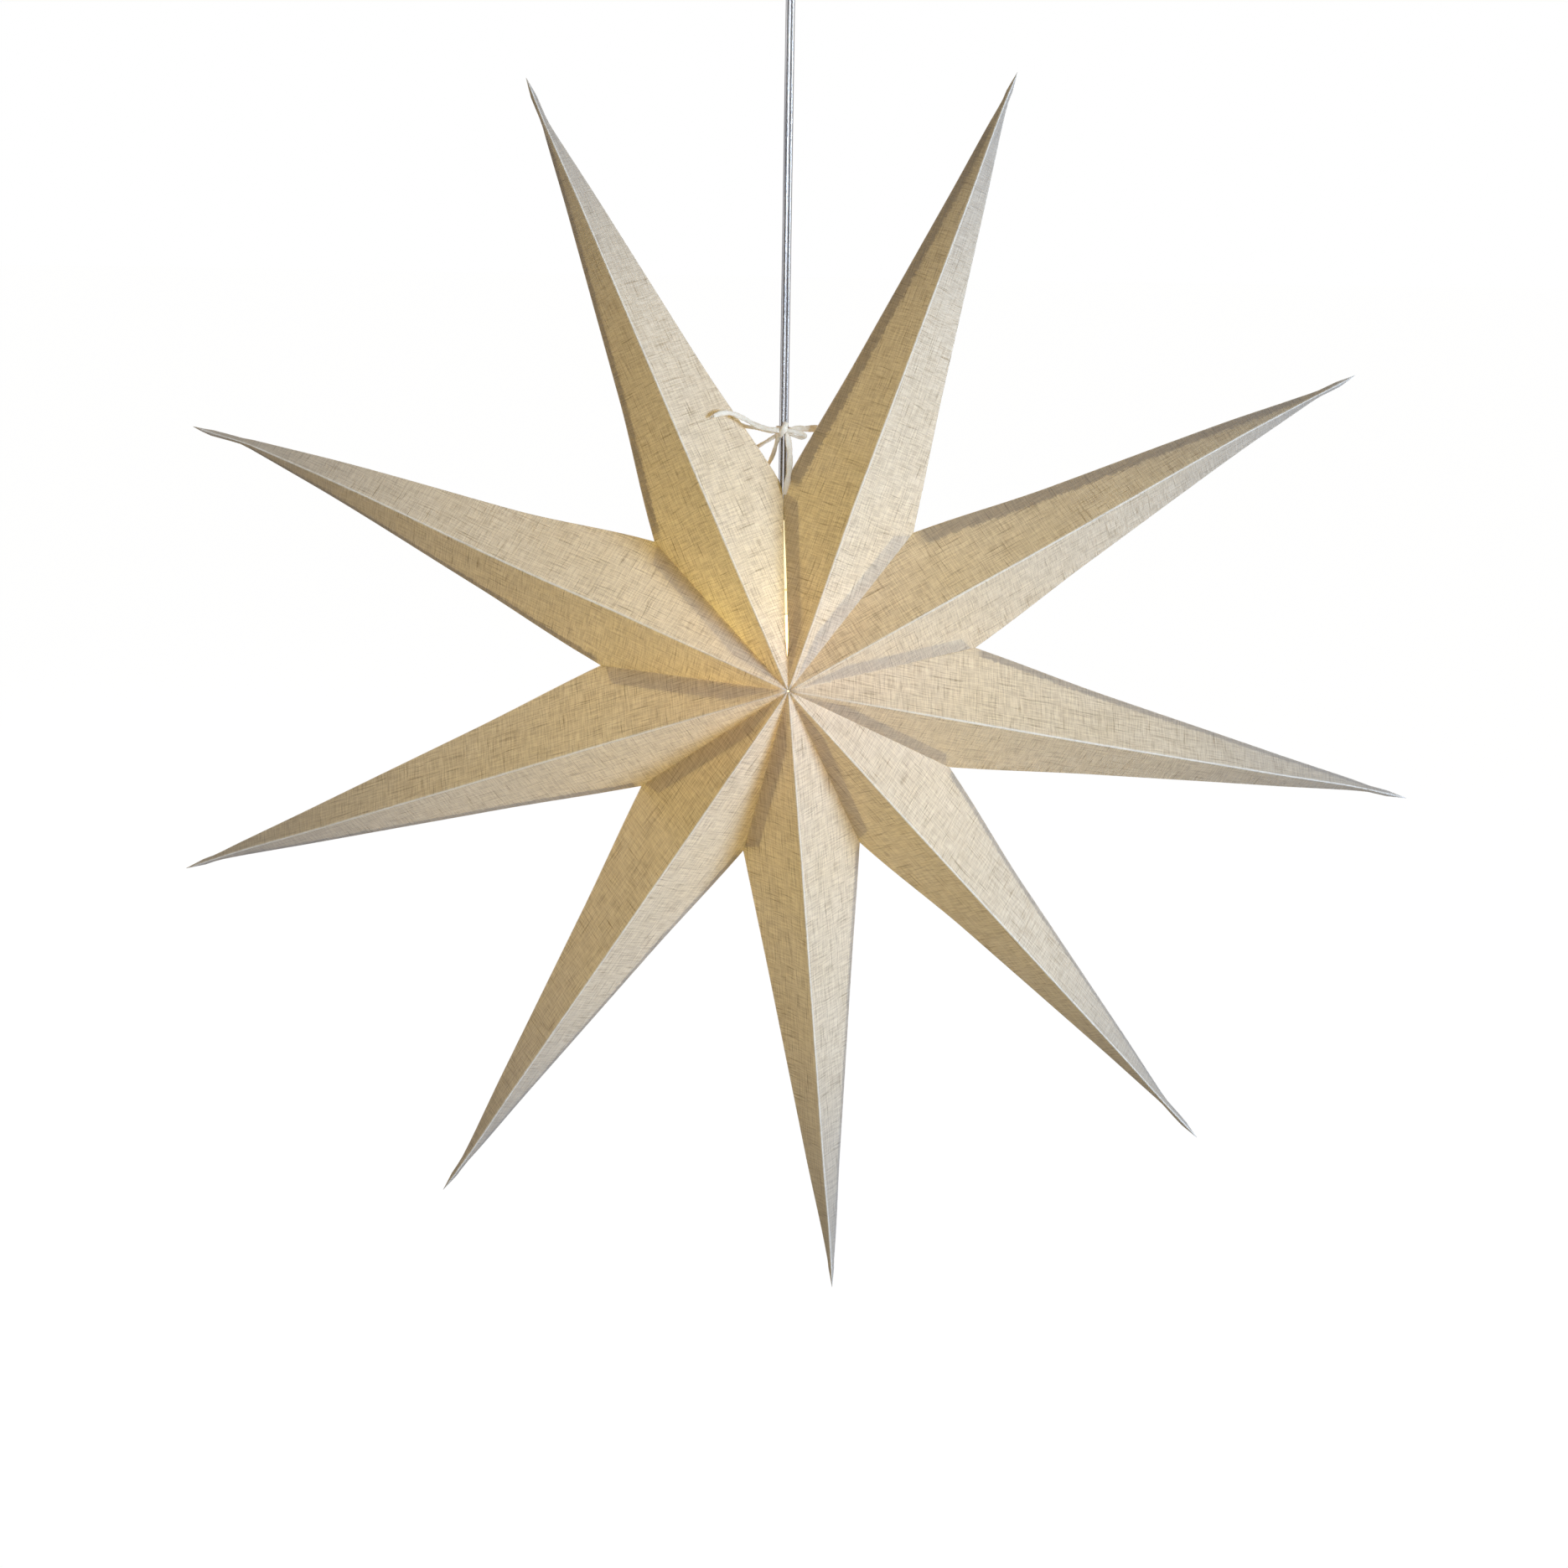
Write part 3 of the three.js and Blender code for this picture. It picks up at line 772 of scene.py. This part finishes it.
def make_linen():
    """Paper faced with a plain linen weave: slubby threads, whitened folds, and warm where it is lit from
    behind."""
    n = Nodes("linen_paper")
    grain = n.add("ShaderNodeUVMap", uv_map="grain").outputs[0]
    wear = n.add("ShaderNodeSeparateXYZ", {0: n.add("ShaderNodeUVMap", uv_map="wear").outputs[0]})
    edge, share = wear.outputs[0], wear.outputs[1]
    who = n.add("ShaderNodeObjectInfo").outputs["Random"]
    shift = n.add("ShaderNodeCombineXYZ", {0: n.math("MULTIPLY", who, 7.3), 1: n.math("MULTIPLY", who, 3.1)})
    place = n.add("ShaderNodeVectorMath", {0: grain, 1: shift.outputs[0]}, operation="ADD").outputs[0]
    bend = n.math("MULTIPLY", n.math("SUBTRACT", n.noise(place, 60, 2), 0.5), 0.0016)
    lean = n.add("ShaderNodeCombineXYZ", {0: bend, 1: bend}).outputs[0]
    cloth = n.add("ShaderNodeVectorMath", {0: place, 1: lean}, operation="ADD").outputs[0]

    split = n.add("ShaderNodeSeparateXYZ", {0: cloth})
    turns = 2 * math.pi / THREAD
    warp = n.math("SINE", n.math("MULTIPLY", split.outputs[0], turns))
    weft = n.math("SINE", n.math("MULTIPLY", split.outputs[1], turns))
    weave = n.math("ADD", n.math("MULTIPLY", n.math("ADD", warp, weft), 0.25), 0.5)
    along = n.noise(n.stretch(cloth, 36, 900), 1.0, 3, 0.65)
    across = n.noise(n.stretch(cloth, 900, 36), 1.0, 3, 0.65)
    slubs = n.math("MAXIMUM", n.range(along, 0.57, 0.66), n.range(across, 0.58, 0.68))
    fine_along = n.range(n.noise(n.stretch(cloth, 80, 1250), 1.0, 2), 0.36, 0.62)
    fine_across = n.range(n.noise(n.stretch(cloth, 1250, 80), 1.0, 2), 0.36, 0.62)
    fine = n.math("MULTIPLY", n.math("ADD", fine_along, fine_across), 0.5)
    cloud = n.noise(place, 22, 4, 0.6)
    dark = n.math("ADD", n.math("MULTIPLY", slubs, 0.45), n.math("MULTIPLY", fine, 0.6))
    dark = n.math("SUBTRACT", n.math("ADD", dark, n.math("MULTIPLY", weave, 0.18)), 0.15, clamp=True)

    colour = n.mix(dark, LINEN_PALE, LINEN_DARK)
    colour = n.mix(n.range(cloud, 0.35, 0.7, 0.0, 0.22), colour, LINEN_STAIN)
    across_ridge = n.add("ShaderNodeSeparateXYZ", {0: grain}).outputs[1]
    fold = n.range(across_ridge, 0.45 * MM, 1.3 * MM, 1.0, 0.0)
    fold = n.math("MULTIPLY", fold, n.range(share, 0.02, 0.3, 0.35, 1.0))
    dashes = n.noise(n.stretch(place, 420, 60), 1.0, 2)
    fold = n.math("MULTIPLY", fold, n.range(dashes, 0.3, 0.6, 0.55, 1.0))
    rub = n.math("MULTIPLY", n.range(edge, 0.1 * MM, 0.9 * MM, 0.6, 0.0), n.range(dashes, 0.35, 0.6))
    white = n.math("MAXIMUM", fold, rub)
    # Painted shade of the glued flaps behind the sheet, both in the colour and in the painted inner glow
    flap_shadow, flap_shade = flap_mask(n, edge, share, dashes)
    colour = n.mix(n.math("MULTIPLY", flap_shade, 0.55), colour, LINEN_FLAP_SHADE)
    # Painted shade: greyer towards the tips, where less of the lamp's light comes through. The next line
    # greys the very front and back centres.
    colour = n.mix(n.range(share, 0.6, 0.97, 0.0, 0.7), colour, LINEN_GREY)
    colour = n.mix(n.range(share, 0.0, 0.014, 0.8, 0.0), colour, LINEN_GREY)
    colour = n.mix(n.math("MULTIPLY", white, 0.8), colour, FOLD_WHITE)

    through = n.mix(n.math("MULTIPLY", dark, 0.9), GLOW_PALE, GLOW_DARK)
    height = n.math("ADD", n.math("MULTIPLY", weave, 0.6), n.math("MULTIPLY", slubs, 0.6))
    bump = n.add("ShaderNodeBump", {"Strength": 0.7, "Distance": 0.18 * MM, "Height": height}).outputs[0]
    cover = n.add("ShaderNodeBsdfPrincipled", {
        "Base Color": colour, "Roughness": 0.86, "Normal": bump, "Specular IOR Level": 0.25,
        "Sheen Weight": 0.2, "Sheen Roughness": 0.5,
    })
    glow = n.add("ShaderNodeBsdfTranslucent", {"Color": through, "Normal": bump})
    amount = n.math("SUBTRACT", TRANSLUCENCY, n.math("MULTIPLY", n.math("MAXIMUM", dark, white), 0.15))
    lit = n.add("ShaderNodeMixShader", {0: amount, 1: cover.outputs[0], 2: glow.outputs[0]})
    bounced = n.math("MULTIPLY", n.math("SUBTRACT", 1.0, share), INNER_GLOW)
    bounced = n.math("MULTIPLY", bounced, n.range(share, 0.0, 0.3, 0.0, 1.0))
    bounced = n.math("MULTIPLY", bounced, n.math("SUBTRACT", 1.25, n.math("MULTIPLY", dark, 0.9)))
    # Painted shadow of the glued flaps on the painted inner glow
    bounced = n.math("MULTIPLY", bounced, n.math("SUBTRACT", 1.0, n.math("MULTIPLY", flap_shadow, 0.6)))
    inner = n.add("ShaderNodeEmission", {"Color": INNER_TINT, "Strength": bounced})
    both = n.add("ShaderNodeAddShader", {0: lit.outputs[0], 1: inner.outputs[0]})
    clear = n.add("ShaderNodeBsdfTransparent", {"Color": (1, 1, 1, 1)})
    inside = n.add("ShaderNodeNewGeometry").outputs["Backfacing"]
    once = n.add("ShaderNodeMixShader", {0: inside, 1: both.outputs[0], 2: clear.outputs[0]})
    return n.surface(once.outputs[0])


def make_cotton():
    """Soft off-white cotton yarn with fine fibres, yellowed here and there."""
    n = Nodes("cotton_cord_yarn")
    place = n.add("ShaderNodeTexCoord").outputs["Object"]
    fibres = n.noise(n.stretch(place, 900, 900, 2600), 1.0, 3, 0.7)
    patches = n.noise(place, 140, 2)
    colour = n.mix(n.range(fibres, 0.35, 0.65), COTTON_PALE, COTTON_DARK)
    colour = n.mix(n.range(patches, 0.52, 0.75, 0.0, 0.4), colour, COTTON_YELLOWED)
    bump = n.add("ShaderNodeBump", {"Strength": 0.6, "Distance": 0.15 * MM, "Height": fibres}).outputs[0]
    shader = n.add("ShaderNodeBsdfPrincipled", {
        "Base Color": colour, "Roughness": 0.92, "Normal": bump, "Sheen Weight": 0.4,
        "Subsurface Weight": 0.15, "Subsurface Radius": (0.002, 0.0015, 0.001),
    })
    return n.surface(shader.outputs[0])


def make_vinyl():
    """Clear soft vinyl: see-through in the middle, with painted grey blue shade towards its edges and in
    patches along it, and glossy towards its edges.
    """
    n = Nodes("clear_vinyl_jacket")
    place = n.add("ShaderNodeTexCoord").outputs["Object"]
    streaks_and_shade = n.noise(n.stretch(place, 700, 700, 12), 1.0, 2)
    facing = n.facing_away()
    # Painted shade: grey blue towards the edges and in long patches along the cable, which also vary the
    # roughness
    tint = n.mix(n.range(facing, 0.25, 0.95), VINYL_CLEAR, VINYL_RIM_SHADE)
    tint = n.mix(n.range(streaks_and_shade, 0.5, 0.7, 0.0, 0.5), tint, VINYL_PATCH_SHADE)
    clear = n.add("ShaderNodeBsdfTransparent", {"Color": tint})
    roughness = n.range(streaks_and_shade, 0.3, 0.7, 0.08, 0.22)
    gloss = n.add("ShaderNodeBsdfGlossy", {"Color": VINYL_SHINE, "Roughness": roughness})
    amount = n.range(facing, 0.0, 1.0, 0.06, 0.4)
    mixed = n.add("ShaderNodeMixShader", {0: amount, 1: clear.outputs[0], 2: gloss.outputs[0]})
    return n.surface(mixed.outputs[0])


def make_strands():
    """Tinned copper strands, bright with tarnished specks."""
    n = Nodes("tinned_copper_strand")
    place = n.add("ShaderNodeTexCoord").outputs["Object"]
    specks = n.noise(place, 1400, 2)
    colour = n.mix(n.range(specks, 0.4, 0.7), TIN_BRIGHT, TIN_TARNISHED)
    roughness = n.range(specks, 0.3, 0.7, 0.25, 0.5)
    bump = n.add("ShaderNodeBump", {"Strength": 0.3, "Distance": 0.05 * MM, "Height": specks}).outputs[0]
    shader = n.add("ShaderNodeBsdfPrincipled", {
        "Base Color": colour, "Metallic": 0.85, "Roughness": roughness, "Normal": bump,
    })
    return n.surface(shader.outputs[0])


def make_plain(name, colour, roughness, metallic=0.0, glow=0.0):
    """A moulded or plated surface with a fine grain. With glow, it gets painted lamplight, brightest on the
    side that faces the viewer.
    """
    n = Nodes(name)
    place = n.add("ShaderNodeTexCoord").outputs["Object"]
    grit = n.noise(place, 900, 3)
    tone = n.mix(n.range(grit, 0.3, 0.7, 0.0, 0.12), colour, tuple(0.8 * c for c in colour[:3]) + (1,))
    bump = n.add("ShaderNodeBump", {"Strength": 0.08, "Distance": 0.1 * MM, "Height": grit}).outputs[0]
    inputs = {"Base Color": tone, "Metallic": metallic, "Normal": bump}
    inputs["Roughness"] = n.range(grit, 0.3, 0.7, roughness * 0.85, roughness * 1.15)
    if glow:
        # Painted lamplight: an emission, strongest where the surface faces the viewer
        inputs["Emission Color"] = HOLDER_TINT
        inputs["Emission Strength"] = n.range(n.facing_away(), 0.05, 0.3, glow, 0.0)
    return n.surface(n.add("ShaderNodeBsdfPrincipled", inputs).outputs[0])


def make_glowing_glass():
    """Frosted glass lit from inside, white in the middle and warmer and dimmer towards its edge."""
    n = Nodes("bulb_frosted_glass")
    place = n.add("ShaderNodeTexCoord").outputs["Object"]
    frost = n.noise(place, 300, 3)
    heat = n.mix(frost, (1.0, 0.66, 0.28, 1), (1.0, 0.74, 0.38, 1))
    edge = n.range(n.facing_away(), 0.2, 0.75)
    strength = n.range(edge, 0.0, 1.0, LAMP_GLOW, LAMP_EDGE_GLOW)
    colour = n.mix(edge, heat, LAMP_EDGE_TINT)
    emission = n.add("ShaderNodeEmission", {"Color": colour, "Strength": strength})
    return n.surface(emission.outputs[0])


def paint(names, material):
    for name in names:
        mesh = frame["nodes"][name].data
        mesh.materials.clear()
        mesh.materials.append(material)
        mesh.polygons.foreach_set("use_smooth", [True] * len(mesh.polygons))
        mesh.set_sharp_from_angle(angle=math.radians(32))


def paint_cad_nodes():
    plastic = make_plain("white_moulded_plastic", WHITE_PLASTIC, 0.42)
    brass = make_plain("contact_brass_metal", BRASS, 0.32, metallic=1.0)
    nickel = make_plain("nickel_plated_metal", NICKEL, 0.25, metallic=1.0)
    # The holder's plastic carries painted lamplight from the bulb
    lit_plastic = make_plain("white_plastic_by_the_lamp", WHITE_PLASTIC, 0.42, glow=HOLDER_GLOW)
    paint(["lampholder_cap", "lampholder_body", "lampholder_cable_grip"], lit_plastic)
    paint(["switch_base", "switch_cover", "switch_rocker", "plug_body"], plastic)
    paint(["lampholder_screw_shell", "lampholder_centre_contact"], brass)
    paint(["bulb_screw_cap", "plug_pin_left", "plug_pin_right"], nickel)
    paint(["bulb_glass"], make_glowing_glass())
    paint(["bulb_stem", "bulb_filament"], nickel)


# ---------------------------------------------------------------- studio


def build_studio():
    """A pale floor under the star, with nothing standing behind it, so that it can be seen from all sides."""
    floor_z = cad_box[0].z - FLOOR_DROP
    corners = [(FLOOR_REACH * x, FLOOR_REACH * y, floor_z) for x, y in ((-1, -1), (1, -1), (1, 1), (-1, 1))]
    floor = new_object("studio_floor", corners, [(0, 1, 2, 3)])
    n = Nodes("studio_white")
    paper = n.add("ShaderNodeBsdfDiffuse", {"Color": FLOOR_GREY})
    white = n.add("ShaderNodeEmission", {"Color": (1, 1, 1, 1), "Strength": FLOOR_WHITE})
    seen = n.math("MULTIPLY", n.add("ShaderNodeLightPath").outputs["Is Camera Ray"], 0.93)
    mixed = n.add("ShaderNodeMixShader", {0: seen, 1: paper.outputs[0], 2: white.outputs[0]})
    floor.data.materials.append(n.surface(mixed.outputs[0]))


def add_light(name, kind, offset, size, power, colour):
    """A light at an offset from the star's centre, turned to face it."""
    light = bpy.data.lights.new(name, kind)
    light.energy = power
    light.color = colour
    if kind == "AREA":
        light.shape = "DISK"
        light.size = size
    else:
        light.shadow_soft_size = size
    obj = bpy.data.objects.new(name, light)
    bpy.context.scene.collection.objects.link(obj)
    place = CENTRE + Vector(offset)
    obj.location = place
    obj.rotation_mode = "QUATERNION"
    obj.rotation_quaternion = (CENTRE - place).to_track_quat("-Z", "Y")
    obj.visible_camera = False


def build_world():
    """A warm sky that lights the star but is seen as plain white."""
    world = bpy.data.worlds.new("studio")
    world.use_nodes = True
    tree = world.node_tree
    sky = tree.nodes["Background"]
    sky.inputs["Color"].default_value = SKY_TINT
    sky.inputs["Strength"].default_value = SKY_STRENGTH
    backdrop = tree.nodes.new("ShaderNodeBackground")
    backdrop.inputs["Color"].default_value = (1, 1, 1, 1)
    seen = tree.nodes.new("ShaderNodeLightPath")
    either = tree.nodes.new("ShaderNodeMixShader")
    tree.links.new(seen.outputs["Is Camera Ray"], either.inputs[0])
    tree.links.new(sky.outputs[0], either.inputs[1])
    tree.links.new(backdrop.outputs[0], either.inputs[2])
    tree.links.new(either.outputs[0], tree.nodes["World Output"].inputs["Surface"])
    bpy.context.scene.world = world


def build_lights():
    add_light("key_light", "AREA", KEY_PLACE, STUDIO_LIGHT_SIZE, KEY_POWER, KEY_TINT)
    add_light("rear_light", "AREA", REAR_PLACE, STUDIO_LIGHT_SIZE, REAR_POWER, REAR_TINT)
    add_light("lamp_glow", "POINT", GLOW_PLACE, GLOW_RADIUS, GLOW_POWER, GLOW_TINT)


def build_camera():
    target = CENTRE + Vector(CAMERA_TARGET)
    back = Vector((0, -math.cos(CAMERA_ELEVATION), math.sin(CAMERA_ELEVATION)))
    place = CENTRE + back * CAMERA_DISTANCE
    forward = (target - place).normalized()
    right = forward.cross(Vector((0, 0, 1))).normalized()
    up = right.cross(forward)
    tilted_right = right * math.cos(CAMERA_ROLL) + up * math.sin(CAMERA_ROLL)
    tilted_up = up * math.cos(CAMERA_ROLL) - right * math.sin(CAMERA_ROLL)
    data = bpy.data.cameras.new("camera")
    data.sensor_width = SENSOR_WIDTH_MM
    data.lens = LENS_MM
    data.clip_end = 50
    camera = bpy.data.objects.new("camera", data)
    bpy.context.scene.collection.objects.link(camera)
    turn = Matrix((tilted_right, tilted_up, -forward)).transposed()
    camera.matrix_world = Matrix.Translation(place) @ turn.to_4x4()
    bpy.context.scene.camera = camera


bpy.context.scene.view_settings.view_transform = "Standard"
linen = make_linen()
build_panels(linen)
build_flaps(linen)
build_tie_cord(make_cotton())
build_cable(make_vinyl(), make_strands())
paint_cad_nodes()
build_studio()
build_world()
build_lights()
build_camera()
